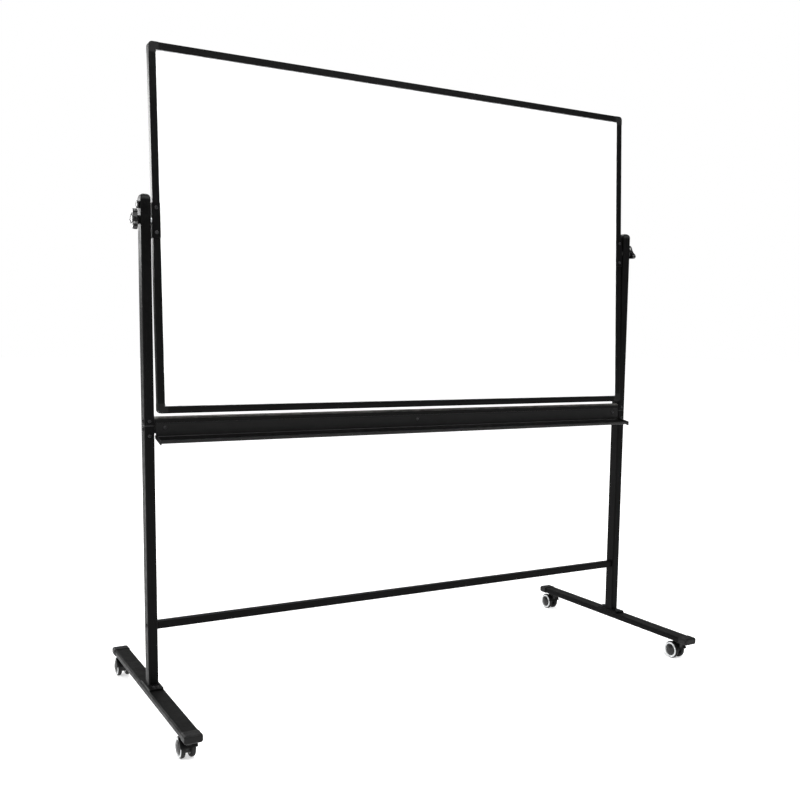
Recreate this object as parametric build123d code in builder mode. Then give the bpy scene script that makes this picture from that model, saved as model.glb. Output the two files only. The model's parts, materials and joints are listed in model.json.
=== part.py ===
from build123d import *
import math
import os

# A rolling two-sided whiteboard: a framed board that flips in a T-foot stand on four casters.
# Millimetres, +Z up, floor at Z 0, the front of the board faces -Y and X 0 is its middle.

# --- board ---
board_width = 1500
board_height = 900
board_depth = 20
board_lean = 2.4                # degrees, top away from the writer
rail_face = 18                  # height of a frame rail seen from the front
rail_wall = 1.5
rail_chamber = 7
rail_edge_radius = 1.6
slot_depth = 8
slot_play = 0.2
panel_thickness = 12
panel_bite = 7                  # how far the panel enters a rail
sheet_thickness = 0.5
corner_size = 25
corner_radius = 10
tongue_length = 20
tongue_play = 0.4

# --- pivot ---
pivot_height = 1248
pivot_above_middle = 23         # the board hangs a little bottom-heavy, so it settles upright
bracket_length = 84
bracket_thickness = 2
bracket_flange = 20
bracket_screw_offset = 30
stud_radius = 5
shoulder_radius = 9
shoulder_length = 2.7
bush_radius = 8
bush_flange_radius = 11
bush_flange = 1
running_play = 0.05
knob_gap = 0.7
knob_thickness = 12
knob_collar = 6.5
knob_collar_radius = 10.5
knob_lobes = 3
knob_lobe_radius = 10
knob_lobe_reach = 18
knob_core_radius = 15
knob_notch_radius = 5
knob_first_lobe = {"left": 180, "right": 204}      # each knob stops where its thread brings it tight
knob_edge_radius = 2.5
insert_radius = 7.5
insert_length = 14
lock_height = 36                # lock screw above the pivot
lock_head_gap = 0.5
lock_head_radius = 9.5
lock_head_length = 6
lock_head_flutes = 12
lock_flute_radius = 1.6
lock_shank_radius = 3
lock_tip_gap = 1

# --- uprights ---
side_gap = 6                    # from the board's edge to the upright
upright_width = 25
upright_depth = 35
upright_radius = 4
tube_wall = 1.5
upright_top = 1296
joint_bottom = 744.1
joint_top = 745.9
sleeve_bottom = 690
sleeve_top = 800
sleeve_play = 0.1
sleeve_wall = 2
collar_inset = 0.4
cap_rim = 3
cap_dome = 11
cap_plug = 12
cap_sections = ((0, 1), (0.55, 0.86), (1, 0.42))        # share of the dome's height, share of its size
cap_screw_clearance = 1

# --- beam, tray and crossbar ---
beam_bottom = 725
beam_height = 42
beam_depth = 30
beam_radius = 8
beam_end_plate = 3
tray_sheet = 1.8
tray_reach = 51                 # from the beam's face to the front lip
tray_leg_top = 752
tray_back_height = 716
tray_front_height = 703
tray_lip_top = 711
tray_hem_radius = 2
tray_end_gap = 1
tray_cap = 2
tray_cap_margin = 3             # below the tray's floor
tray_cap_rise = 6               # above the floor, at the beam
tray_cap_radius = 2
tray_bend_radius = 5
crossbar_height = 234
crossbar_size = 20
crossbar_radius = 2.5

# --- feet and casters ---
foot_width = 42
foot_height = 18
foot_radius = 5
foot_bottom = 57
foot_length = 700
foot_cap = 8                    # end wall of a cap
foot_cap_overlap = 22           # sleeve of a cap, over the tube
foot_cap_wall = 1.4
foot_cap_radius = 5
base_length = 90
base_width = 36
base_thickness = 5
base_corner_radius = 5
base_bolt_offset = 33
caster_offset = 310             # swivel axis, front and back of the upright
caster_trail = 18
wheel_radius = 26
wheel_inner_face = 6.3
tyre_outer_face = 17.6
hub_radius = 18
ring_radius = 23.3
ring_seat = 16.4
ring_face = 18.4
ring_rim = 17.8
ring_slope = 18.9
ring_bevel = 2
ring_proud = 0.3
hub_crown = 22.5
tread_crown = 1.8
tread_chamfer = 2.2
axle_radius = 3
axle_half_length = 17
axle_play = 0.08
axle_end_gap = 0.5
hood_web = 5.8
hood_top = 55.5
hood_collar_radius = 12.5
hood_collar_bottom = 51.6
hood_low_radius = 15
hood_neck = 18
fender_gap = 0.8
fender_thickness = 2.2
fender_half_width = 21
fender_span = 36
fender_back = 8                 # behind the swivel axis
fender_low = 6                  # above the axle
pin_radius = 3.5
pin_bottom = 36
pin_clearance = 1
stem_radius = 5
stem_top = 72
stem_flange_radius = 9
stem_flange_bottom = 55.8

# --- fasteners ---
bolt_radius = 3
bolt_head_radius = 6
bolt_head_height = 2.6
bolt_head_edge = 1.6
bolt_length = 34
lower_beam_bolt = 735
upper_beam_bolt = 755
base_bolt_radius = 4
base_bolt_flats = 13
base_bolt_head = 5.3
base_bolt_length = 15
screw_radius = 2.5
screw_head_radius = 4.6
screw_head_height = 2.4
screw_head_taper = 18
screw_length = 6
sleeve_screw_heights = (720, 757)
tray_screw_places = (-730, 0, 730)
tray_screw_height = 740

# --- worked out from the above ---
post_x = board_width / 2 + side_gap + upright_width / 2
post_inner = post_x - upright_width / 2
post_outer = post_x + upright_width / 2
post_front = -upright_depth / 2
foot_top = foot_bottom + foot_height
foot_middle = foot_bottom + foot_height / 2
base_top = foot_top + base_thickness
beam_middle = beam_bottom + beam_height / 2
beam_front = -beam_depth / 2
tray_front = beam_front - tray_reach
tray_half = post_inner - tray_end_gap
panel_width = board_width - 2 * (rail_face - panel_bite)
panel_height = board_height - 2 * (rail_face - panel_bite)
lean = math.radians(board_lean)
hub_dome = (hub_radius**2 + (hub_crown - ring_face) ** 2) / (2 * (hub_crown - ring_face))
hub_waist = hub_crown - hub_dome + math.sqrt(hub_dome**2 - (hub_radius / 2) ** 2)
sides = {"left": -1, "right": 1}
ends = {"front": -1, "rear": 1}

# The board's own frame: origin on the pivot axis, x along the board, z up its leaning face.
board_frame = Plane((0, 0, pivot_height), x_dir=(1, 0, 0), z_dir=(0, math.sin(lean), math.cos(lean)))
board_up = board_frame.z_dir
board_back = board_frame.y_dir
board_middle = board_frame.origin - board_up * pivot_above_middle
face_plane = Plane(board_middle, x_dir=(1, 0, 0), z_dir=-board_back)

os.makedirs("parts", exist_ok=True)


def save(part, name):
    part.label = name
    export_step(part, f"parts/{name}.step")


def tube_section(width, height, radius):
    """The cross-section of a rounded rectangular tube, drawn in the current sketch."""
    RectangleRounded(width, height, radius)
    RectangleRounded(width - 2 * tube_wall, height - 2 * tube_wall, radius - tube_wall, mode=Mode.SUBTRACT)


def along_x(x, y, z, direction=1):
    """A plane at a point, facing along X."""
    return Plane((x, y, z), x_dir=(0, direction, 0), z_dir=(direction, 0, 0))


# ---------------------------------------------------------------- stand
def upper_upright(side):
    with BuildPart() as upright:
        with BuildSketch(Plane((side * post_x, 0, joint_top))):
            tube_section(upright_width, upright_depth, upright_radius)
        extrude(amount=upright_top - joint_top)
        with BuildSketch(along_x(side * post_x, 0, 0, 1)):
            with Locations((0, pivot_height)):
                Circle(bush_radius)
            with Locations((0, pivot_height + lock_height)):
                Circle(lock_shank_radius + running_play)
            with Locations((0, upper_beam_bolt)):
                Circle(bolt_radius)
        extrude(amount=upright_width, both=True, mode=Mode.SUBTRACT)
        with BuildSketch(Plane((side * post_x, 0, 0), x_dir=(1, 0, 0), z_dir=(0, -1, 0))):
            with Locations((0, sleeve_screw_heights[1])):
                Circle(screw_radius)
        extrude(amount=upright_depth, mode=Mode.SUBTRACT)
    return upright.part


def lower_upright(side):
    with BuildPart() as upright:
        with BuildSketch(Plane((side * post_x, 0, base_top))):
            tube_section(upright_width, upright_depth, upright_radius)
        extrude(amount=joint_bottom - base_top)
        with BuildSketch(along_x(side * post_x, 0, 0, 1)):
            with Locations((0, lower_beam_bolt), (0, crossbar_height)):
                Circle(bolt_radius)
        extrude(amount=upright_width, both=True, mode=Mode.SUBTRACT)
        with BuildSketch(Plane((side * post_x, 0, 0), x_dir=(1, 0, 0), z_dir=(0, -1, 0))):
            with Locations((0, sleeve_screw_heights[0])):
                Circle(screw_radius)
        extrude(amount=upright_depth, mode=Mode.SUBTRACT)
    return upright.part


for side_name, side in sides.items():
    save(upper_upright(side), f"{side_name}_upper_upright")
    save(lower_upright(side), f"{side_name}_lower_upright")

bore_width = upright_width - 2 * tube_wall
bore_depth = upright_depth - 2 * tube_wall
bore_radius = upright_radius - tube_wall
both_posts = [(-post_x, 0), (post_x, 0)]

# Sleeves join the two halves of each upright; a collar shows as a thin line in the joint.
with BuildPart() as joining_sleeves:
    with BuildSketch(Plane.XY.offset(sleeve_bottom)):
        with Locations(both_posts):
            RectangleRounded(bore_width - 2 * sleeve_play, bore_depth - 2 * sleeve_play, bore_radius)
    extrude(amount=sleeve_top - sleeve_bottom)
    with BuildSketch(Plane.XY.offset(joint_bottom)):
        with Locations(both_posts):
            RectangleRounded(upright_width - 2 * collar_inset, upright_depth - 2 * collar_inset,
                             upright_radius)
    extrude(amount=joint_top - joint_bottom)
    with BuildSketch(Plane.XY.offset(sleeve_bottom)):
        with Locations(both_posts):
            Rectangle(bore_width - 2 * sleeve_wall, bore_depth - 2 * sleeve_wall)
    extrude(amount=sleeve_top - sleeve_bottom, mode=Mode.SUBTRACT)
    with BuildSketch(Plane.YZ):
        with Locations((0, lower_beam_bolt), (0, upper_beam_bolt)):
            Circle(bolt_radius)
    extrude(amount=post_outer, both=True, mode=Mode.SUBTRACT)
    with BuildSketch(Plane.XZ):
        with Locations([(side * post_x, height) for side in (-1, 1) for height in sleeve_screw_heights]):
            Circle(screw_radius)
    extrude(amount=upright_depth, mode=Mode.SUBTRACT)
save(joining_sleeves.part, "joining_sleeves")

with BuildPart() as upright_caps:
    with BuildSketch(Plane.XY.offset(upright_top - cap_plug)):
        with Locations(both_posts):
            RectangleRounded(bore_width - 2 * sleeve_play, bore_depth - 2 * sleeve_play, bore_radius)
    extrude(amount=cap_plug)
    with BuildSketch(Plane.XY.offset(upright_top - cap_plug)):
        with Locations(both_posts):
            Rectangle(bore_width - 2 * sleeve_wall, bore_depth - 2 * sleeve_wall)
    extrude(amount=cap_plug, mode=Mode.SUBTRACT)
    with BuildSketch(Plane.XY.offset(upright_top)):
        with Locations(both_posts):
            RectangleRounded(upright_width, upright_depth, upright_radius)
    extrude(amount=cap_rim)
    for post in both_posts:
        for height, share in cap_sections:
            with BuildSketch(Plane.XY.offset(upright_top + cap_rim + height * cap_dome)):
                with Locations(post):
                    RectangleRounded(upright_width * share, upright_depth * share, upright_radius * share)
        loft()
    with BuildSketch(Plane.YZ):
        with Locations((0, pivot_height + lock_height)):
            Circle(lock_shank_radius + cap_screw_clearance)
    extrude(amount=post_outer, both=True, mode=Mode.SUBTRACT)
save(upright_caps.part, "upright_caps")

with BuildPart() as tray_beam:
    with BuildSketch(along_x(0, 0, beam_middle)):
        tube_section(beam_depth, beam_height, beam_radius)
    extrude(amount=post_inner, both=True)
    for side in (-1, 1):
        with BuildSketch(along_x(side * post_inner, 0, beam_middle)):
            RectangleRounded(beam_depth, beam_height, beam_radius)
        extrude(amount=-side * beam_end_plate)
    with BuildSketch(Plane.YZ):
        with Locations((0, lower_beam_bolt), (0, upper_beam_bolt)):
            Circle(bolt_radius)
    extrude(amount=post_inner, both=True, mode=Mode.SUBTRACT)
    with BuildSketch(Plane.XZ):
        with Locations([(x, tray_screw_height) for x in tray_screw_places]):
            Circle(screw_radius)
    extrude(amount=beam_depth, mode=Mode.SUBTRACT)
save(tray_beam.part, "tray_beam")

# The pen tray is one folded sheet: a leg on the beam's face, a floor that falls forward, a hemmed lip.
tray_line = [
    (beam_front - tray_sheet / 2, tray_leg_top),
    (beam_front - tray_sheet / 2, tray_back_height),
    (tray_front, tray_front_height),
    (tray_front, tray_lip_top),
]
with BuildPart() as pen_tray:
    with BuildSketch(Plane.YZ) as tray_section:
        with BuildLine():
            FilletPolyline(*tray_line, radius=tray_bend_radius)
        trace(line_width=tray_sheet)
        with Locations((tray_front, tray_lip_top)):
            Circle(tray_hem_radius)
    extrude(amount=tray_half - tray_cap, both=True)
    with BuildSketch(Plane.XZ):
        with Locations([(x, tray_screw_height) for x in tray_screw_places]):
            Circle(screw_radius)
    extrude(amount=beam_depth, mode=Mode.SUBTRACT)
save(pen_tray.part, "pen_tray")

with BuildPart() as tray_end_caps:
    for side in (-1, 1):
        with BuildSketch(along_x(side * tray_half, 0, 0, 1)):
            with BuildLine():
                FilletPolyline(
                    (beam_front, tray_back_height + tray_cap_rise),
                    (beam_front, tray_back_height - tray_cap_margin),
                    (tray_front - tray_hem_radius, tray_front_height - tray_cap_margin),
                    (tray_front - tray_hem_radius, tray_lip_top + tray_hem_radius),
                    radius=tray_cap_radius,
                    close=True,
                )
            make_face()
        extrude(amount=-side * tray_cap)
save(tray_end_caps.part, "tray_end_caps")

with BuildPart() as lower_crossbar:
    with BuildSketch(along_x(0, 0, crossbar_height)):
        tube_section(crossbar_size, crossbar_size, crossbar_radius)
    extrude(amount=post_inner, both=True)
    for side in (-1, 1):
        with BuildSketch(along_x(side * post_inner, 0, crossbar_height)):
            RectangleRounded(crossbar_size, crossbar_size, crossbar_radius)
            Circle(bolt_radius, mode=Mode.SUBTRACT)
        extrude(amount=-side * beam_end_plate)
save(lower_crossbar.part, "lower_crossbar")


def foot(side):
    with BuildPart() as tube:
        with BuildSketch(Plane((side * post_x, 0, foot_middle), x_dir=(1, 0, 0), z_dir=(0, 1, 0))):
            tube_section(foot_width, foot_height, foot_radius)
        extrude(amount=foot_length / 2, both=True)
        with BuildSketch(Plane((side * post_x, 0, foot_top))):
            with Locations((0, -base_bolt_offset), (0, base_bolt_offset)):
                Circle(base_bolt_radius)
        extrude(amount=-foot_height / 2, mode=Mode.SUBTRACT)
        with BuildSketch(Plane((side * post_x, 0, foot_bottom))):
            with Locations((0, -caster_offset), (0, caster_offset)):
                Circle(stem_radius)
        extrude(amount=foot_height / 2, mode=Mode.SUBTRACT)
    return tube.part


for side_name, side in sides.items():
    save(foot(side), f"{side_name}_foot")

foot_ends = [(side * post_x, end * foot_length / 2, end) for side in (-1, 1) for end in (-1, 1)]

# Moulded caps push over the ends of the feet and stand a little proud of the tube.
with BuildPart() as foot_end_caps:
    for x, y, end in foot_ends:
        end_plane = Plane((x, y, foot_middle), x_dir=(1, 0, 0), z_dir=(0, end, 0))
        with BuildSketch(end_plane.offset(-foot_cap_overlap)):
            RectangleRounded(foot_width + 2 * foot_cap_wall, foot_height + 2 * foot_cap_wall,
                             foot_radius + foot_cap_wall)
        extrude(amount=foot_cap_overlap + foot_cap)
        with BuildSketch(end_plane):
            RectangleRounded(foot_width, foot_height, foot_radius)
        extrude(amount=-foot_cap_overlap, mode=Mode.SUBTRACT)
    outer_faces = foot_end_caps.faces().filter_by(Axis.Y).group_by(Axis.Y)
    fillet(outer_faces[0].edges() + outer_faces[-1].edges(), radius=foot_cap_radius)
save(foot_end_caps.part, "foot_end_caps")

# Plates welded under the lower uprights, bolted down on the feet.
with BuildPart() as base_plates:
    with BuildSketch(Plane.XY.offset(foot_top)):
        with Locations(both_posts):
            RectangleRounded(base_width, base_length, base_corner_radius)
        with Locations([(side * post_x, end * base_bolt_offset) for side in (-1, 1) for end in (-1, 1)]):
            Circle(base_bolt_radius, mode=Mode.SUBTRACT)
    extrude(amount=base_thickness)
save(base_plates.part, "base_plates")

with BuildPart() as base_bolts:
    bolt_places = [(side * post_x, end * base_bolt_offset) for side in (-1, 1) for end in (-1, 1)]
    with BuildSketch(Plane.XY.offset(base_top)):
        with Locations(bolt_places):
            RegularPolygon(base_bolt_flats / 2, 6, major_radius=False)
    extrude(amount=base_bolt_head)
    with BuildSketch(Plane.XY.offset(base_top)):
        with Locations(bolt_places):
            Circle(base_bolt_radius)
    extrude(amount=-base_bolt_length)
save(base_bolts.part, "base_bolts")

# Button-headed bolts through the uprights into the ends of the beam and the crossbar.
with BuildPart() as frame_bolts:
    for side in (-1, 1):
        for height in (lower_beam_bolt, upper_beam_bolt, crossbar_height):
            with BuildSketch(along_x(side * post_outer, 0, height, side)):
                Circle(bolt_head_radius)
            extrude(amount=bolt_head_height)
            with BuildSketch(along_x(side * post_outer, 0, height, side)):
                Circle(bolt_radius)
            extrude(amount=-bolt_length)
    head_faces = frame_bolts.faces().filter_by(Axis.X).group_by(Axis.X)
    fillet(head_faces[0].edges() + head_faces[-1].edges(), radius=bolt_head_edge)
save(frame_bolts.part, "frame_bolts")

# Pan-headed screws: two in each upright's sleeve joint and a row along the tray's leg.
with BuildPart() as pan_screws:
    screw_places = [(x, beam_front - tray_sheet, tray_screw_height) for x in tray_screw_places]
    for height in sleeve_screw_heights:
        screw_places += [(-post_x, post_front, height), (post_x, post_front, height)]
    for place in screw_places:
        with BuildSketch(Plane(place, x_dir=(1, 0, 0), z_dir=(0, -1, 0))):
            Circle(screw_head_radius)
        extrude(amount=screw_head_height, taper=screw_head_taper)
        with BuildSketch(Plane(place, x_dir=(1, 0, 0), z_dir=(0, -1, 0))):
            Circle(screw_radius)
        extrude(amount=-screw_length)
save(pan_screws.part, "pan_screws")

with BuildPart() as pivot_bushes:
    for side in (-1, 1):
        with BuildSketch(along_x(side * (post_inner - bush_flange), 0, pivot_height)):
            Circle(bush_flange_radius)
        extrude(amount=side * bush_flange)
        with BuildSketch(along_x(side * post_inner, 0, pivot_height)):
            Circle(bush_radius)
        extrude(amount=side * upright_width)
        with BuildSketch(along_x(side * (post_inner - bush_flange), 0, pivot_height)):
            Circle(stud_radius + running_play)
        extrude(amount=side * (bush_flange + upright_width), mode=Mode.SUBTRACT)
save(pivot_bushes.part, "pivot_bushes")

caster_places = {
    f"{end_name}_{side_name}": (side * post_x, end * caster_offset)
    for end_name, end in ends.items()
    for side_name, side in sides.items()
}

# Each caster hangs on a stem screwed into the foot; its lower pin is the swivel axis.
with BuildPart() as caster_stems:
    with Locations(list(caster_places.values())):
        with Locations((0, 0, pin_bottom)):
            Cylinder(pin_radius, foot_bottom - pin_bottom, align=(Align.CENTER, Align.CENTER, Align.MIN))
        with Locations((0, 0, stem_flange_bottom)):
            Cylinder(stem_flange_radius, foot_bottom - stem_flange_bottom,
                     align=(Align.CENTER, Align.CENTER, Align.MIN))
        with Locations((0, 0, foot_bottom)):
            Cylinder(stem_radius, stem_top - foot_bottom, align=(Align.CENTER, Align.CENTER, Align.MIN))
save(caster_stems.part, "caster_stems")


# ---------------------------------------------------------------- board
def rail(outward, distance, length):
    """A frame extrusion whose outer edge lies a distance from the board's middle."""
    plane = Plane(board_middle + outward * distance, x_dir=board_back, z_dir=board_back.cross(outward))
    with BuildPart() as bar:
        with BuildSketch(plane):
            with Locations((0, -rail_face / 2)):
                RectangleRounded(board_depth, rail_face, rail_edge_radius)
            with Locations((0, -rail_wall - rail_chamber / 2)):
                Rectangle(board_depth - 2 * rail_wall, rail_chamber, mode=Mode.SUBTRACT)
            with Locations((0, -rail_face + slot_depth / 2)):
                Rectangle(panel_thickness + slot_play, slot_depth, mode=Mode.SUBTRACT)
        extrude(amount=length / 2, both=True)
    return bar.part


board_right = board_frame.x_dir
long_rail = board_width - 2 * corner_size
short_rail = board_height - 2 * corner_size
save(rail(board_up, board_height / 2, long_rail), "top_rail")
save(rail(-board_up, board_height / 2, long_rail), "bottom_rail")
save(rail(-board_right, board_width / 2, short_rail), "left_rail")
save(rail(board_right, board_width / 2, short_rail), "right_rail")

# Plastic corners: rounded outside, slotted for the panel, with tongues that enter the rails.
with BuildPart() as corner_caps:
    with BuildSketch(face_plane):
        RectangleRounded(board_width, board_height, corner_radius)
        Rectangle(board_width - 2 * rail_face, board_height - 2 * rail_face, mode=Mode.SUBTRACT)
        Rectangle(board_width - 2 * corner_size, board_height, mode=Mode.SUBTRACT)
        Rectangle(board_width, board_height - 2 * corner_size, mode=Mode.SUBTRACT)
    extrude(amount=board_depth / 2, both=True)
    with BuildSketch(face_plane):
        slot_inset = 2 * (rail_face - slot_depth)
        Rectangle(board_width - slot_inset, board_height - slot_inset)
    extrude(amount=(panel_thickness + slot_play) / 2, both=True, mode=Mode.SUBTRACT)
    chamber_middle = rail_wall + rail_chamber / 2
    tongue_middle = corner_size + tongue_length / 2
    with BuildSketch(face_plane):
        with GridLocations(board_width - 2 * tongue_middle, board_height - 2 * chamber_middle, 2, 2):
            Rectangle(tongue_length, rail_chamber - tongue_play)
        with GridLocations(board_width - 2 * chamber_middle, board_height - 2 * tongue_middle, 2, 2):
            Rectangle(rail_chamber - tongue_play, tongue_length)
    extrude(amount=(board_depth - 2 * rail_wall - tongue_play) / 2, both=True)
save(corner_caps.part, "corner_caps")


def panel_layer(start, end):
    """A layer of the writing panel, between two distances in front of the board's middle."""
    with BuildPart() as layer:
        with BuildSketch(face_plane.offset(start)):
            Rectangle(panel_width, panel_height)
        extrude(amount=end - start)
    return layer.part


panel_face = panel_thickness / 2
core_face = panel_face - sheet_thickness
save(panel_layer(core_face, panel_face), "front_writing_sheet")
save(panel_layer(-panel_face, -core_face), "rear_writing_sheet")
save(panel_layer(-core_face, core_face), "panel_core")

board_edge = board_width / 2
bracket_face = board_edge + bracket_thickness
screw_x = board_edge + bracket_thickness - bracket_flange / 2

# Channel brackets clasp the side rails at the pivot height.
with BuildPart() as pivot_brackets:
    with BuildSketch(board_frame):
        for side in (-1, 1):
            with Locations((side * (bracket_face - bracket_flange / 2), 0)):
                Rectangle(bracket_flange, board_depth + 2 * bracket_thickness)
        Rectangle(board_width, board_depth, mode=Mode.SUBTRACT)
    extrude(amount=bracket_length / 2, both=True)
    with BuildSketch(Plane(board_frame.origin, x_dir=(1, 0, 0), z_dir=-board_back)):
        with GridLocations(2 * screw_x, 2 * bracket_screw_offset, 2, 2):
            Circle(screw_radius)
    extrude(amount=board_depth, mode=Mode.SUBTRACT)
save(pivot_brackets.part, "pivot_brackets")

with BuildPart() as pivot_studs:
    for side in (-1, 1):
        with BuildSketch(along_x(side * bracket_face, 0, pivot_height, side)):
            Circle(shoulder_radius)
        extrude(amount=shoulder_length)
        with BuildSketch(along_x(side * bracket_face, 0, pivot_height, side)):
            Circle(stud_radius)
        extrude(amount=post_outer + insert_length - bracket_face)
save(pivot_studs.part, "pivot_studs")

with BuildPart() as bracket_screws:
    head_plane = Plane(board_frame.origin - board_back * (board_depth / 2 + bracket_thickness),
                       x_dir=(1, 0, 0), z_dir=-board_back)
    with BuildSketch(head_plane):
        with GridLocations(2 * screw_x, 2 * bracket_screw_offset, 2, 2):
            Circle(screw_head_radius)
    extrude(amount=screw_head_height, taper=screw_head_taper)
    with BuildSketch(head_plane):
        with GridLocations(2 * screw_x, 2 * bracket_screw_offset, 2, 2):
            Circle(screw_radius)
    extrude(amount=-bracket_thickness)
save(bracket_screws.part, "bracket_screws")


# ---------------------------------------------------------------- knobs and lock screws
def knob(side, first_lobe):
    """A three-lobed clamping knob, its collar towards the upright."""
    inner = side * (post_outer + knob_gap)
    with BuildPart() as grip:
        with BuildSketch(along_x(inner + side * knob_collar, 0, pivot_height, side)) as outline:
            Circle(knob_core_radius)
            with PolarLocations(knob_lobe_reach, knob_lobes, start_angle=first_lobe):
                Circle(knob_lobe_radius)
            fillet(outline.vertices(), radius=knob_notch_radius)
        extrude(amount=knob_thickness)
        fillet(grip.faces().filter_by(Axis.X).edges(), radius=knob_edge_radius)
        with BuildSketch(along_x(inner, 0, pivot_height, side)):
            Circle(knob_collar_radius)
        extrude(amount=knob_collar)
        with BuildSketch(along_x(inner, 0, pivot_height, side)):
            Circle(insert_radius)
        extrude(amount=insert_length, mode=Mode.SUBTRACT)
    return grip.part


def insert(side):
    with BuildPart() as nut:
        with BuildSketch(along_x(side * (post_outer + knob_gap), 0, pivot_height, side)):
            Circle(insert_radius)
            Circle(stud_radius + running_play, mode=Mode.SUBTRACT)
        extrude(amount=insert_length)
    return nut.part


def lock_screw(side):
    height = pivot_height + lock_height
    under_head = post_outer + lock_head_gap
    with BuildPart() as screw:
        with BuildSketch(along_x(side * under_head, 0, height, side)):
            Circle(lock_head_radius)
            with PolarLocations(lock_head_radius + lock_flute_radius / 2, lock_head_flutes):
                Circle(lock_flute_radius, mode=Mode.SUBTRACT)
        extrude(amount=lock_head_length)
        with BuildSketch(along_x(side * under_head, 0, height, side)):
            Circle(lock_shank_radius)
        extrude(amount=bracket_face + lock_tip_gap - under_head)
    return screw.part


for side_name, side in sides.items():
    save(knob(side, knob_first_lobe[side_name]), f"{side_name}_pivot_knob")
    save(insert(side), f"{side_name}_knob_insert")
    save(lock_screw(side), f"{side_name}_lock_screw")


# ---------------------------------------------------------------- casters
def caster_hood(x, y):
    """The swivelling body: a web between the wheels, a collar round the pin and a front fender."""
    side_view = Plane((x, y, wheel_radius), x_dir=(0, 1, 0), z_dir=(1, 0, 0))
    fender_inside = wheel_radius + fender_gap
    collar_height = hood_top - hood_collar_bottom
    with BuildPart() as hood:
        with BuildSketch(side_view):
            with Locations((caster_trail, 0)):
                Circle(hood_low_radius)
            with Locations((0, hood_top - wheel_radius - hood_neck / 2)):
                Rectangle(hood_neck, hood_neck)
            make_hull()
        extrude(amount=hood_web, both=True)
        with BuildSketch(side_view):
            with Locations((caster_trail, 0)):
                Circle(fender_inside + fender_thickness)
                Circle(fender_inside, mode=Mode.SUBTRACT)
            with Locations((fender_back - fender_span / 2, fender_low + fender_span / 2)):
                Rectangle(fender_span, fender_span, mode=Mode.INTERSECT)
        extrude(amount=fender_half_width, both=True)
        with BuildSketch(Plane((x, y, hood_collar_bottom))):
            Circle(hood_collar_radius)
        extrude(amount=collar_height)
        with BuildSketch(Plane((x, y, hood_top))):
            Circle(pin_radius + axle_play)
        extrude(amount=pin_bottom - pin_clearance - hood_top, mode=Mode.SUBTRACT)
        with BuildSketch(side_view):
            with Locations((caster_trail, 0)):
                Circle(axle_radius)
        extrude(amount=hood_web, both=True, mode=Mode.SUBTRACT)
    return hood.part


def caster_axle(x, y):
    with BuildPart() as axle:
        with BuildSketch(Plane((x, y + caster_trail, wheel_radius), x_dir=(0, 1, 0), z_dir=(1, 0, 0))):
            Circle(axle_radius)
        extrude(amount=axle_half_length, both=True)
    return axle.part


def wheel(x, y, side):
    """Tread, ring seat and domed hub turned about the axle; side says which of the pair it is."""
    axle_middle = (x, y + caster_trail, wheel_radius)
    inner_face = side * wheel_inner_face
    outer_face = side * tyre_outer_face
    shoulder = wheel_radius - tread_crown
    with BuildPart() as turned:
        with BuildSketch(Plane(axle_middle, x_dir=(1, 0, 0), z_dir=(0, -1, 0))):
            with BuildLine():
                Polyline(
                    (inner_face, 0),
                    (inner_face, shoulder - tread_chamfer),
                    (inner_face + side, shoulder),
                )
                ThreePointArc(
                    (inner_face + side, shoulder),
                    ((inner_face + outer_face) / 2, wheel_radius),
                    (outer_face - side, shoulder),
                )
                Polyline(
                    (outer_face - side, shoulder),
                    (outer_face, ring_radius),
                    (side * ring_seat, ring_radius),
                    (side * ring_seat, hub_radius),
                    (side * ring_face, hub_radius),
                )
                ThreePointArc((side * ring_face, hub_radius), (side * hub_waist, hub_radius / 2),
                              (side * hub_crown, 0))
                Line((side * hub_crown, 0), (inner_face, 0))
            make_face()
        revolve(axis=Axis(axle_middle, (1, 0, 0)))
        with BuildSketch(along_x(x + inner_face, y + caster_trail, wheel_radius, side)):
            Circle(axle_radius + axle_play)
        extrude(amount=axle_half_length + axle_end_gap - wheel_inner_face, mode=Mode.SUBTRACT)
    return turned.part


def trim_ring(x, y, side):
    """A bright ring pressed into the wheel's outer face, its front sloping in to the hub."""
    axle_middle = (x, y + caster_trail, wheel_radius)
    with BuildPart() as ring:
        with BuildSketch(Plane(axle_middle, x_dir=(1, 0, 0), z_dir=(0, -1, 0))):
            with BuildLine():
                Polyline(
                    (side * ring_seat, hub_radius),
                    (side * ring_seat, ring_radius),
                    (side * ring_rim, ring_radius),
                    (side * ring_slope, ring_radius - ring_bevel),
                    (side * (ring_face + ring_proud), hub_radius),
                    close=True,
                )
            make_face()
        revolve(axis=Axis(axle_middle, (1, 0, 0)))
    return ring.part


for caster_name, (x, y) in caster_places.items():
    save(caster_hood(x, y), f"{caster_name}_caster_hood")
    save(caster_axle(x, y), f"{caster_name}_caster_axle")
    for side_name, side in sides.items():
        save(wheel(x, y, side), f"{caster_name}_{side_name}_wheel")
        save(trim_ring(x, y, side), f"{caster_name}_{side_name}_trim_ring")
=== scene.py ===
import json
import math

import bmesh
import bpy
from mathutils import Matrix, Vector


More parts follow.
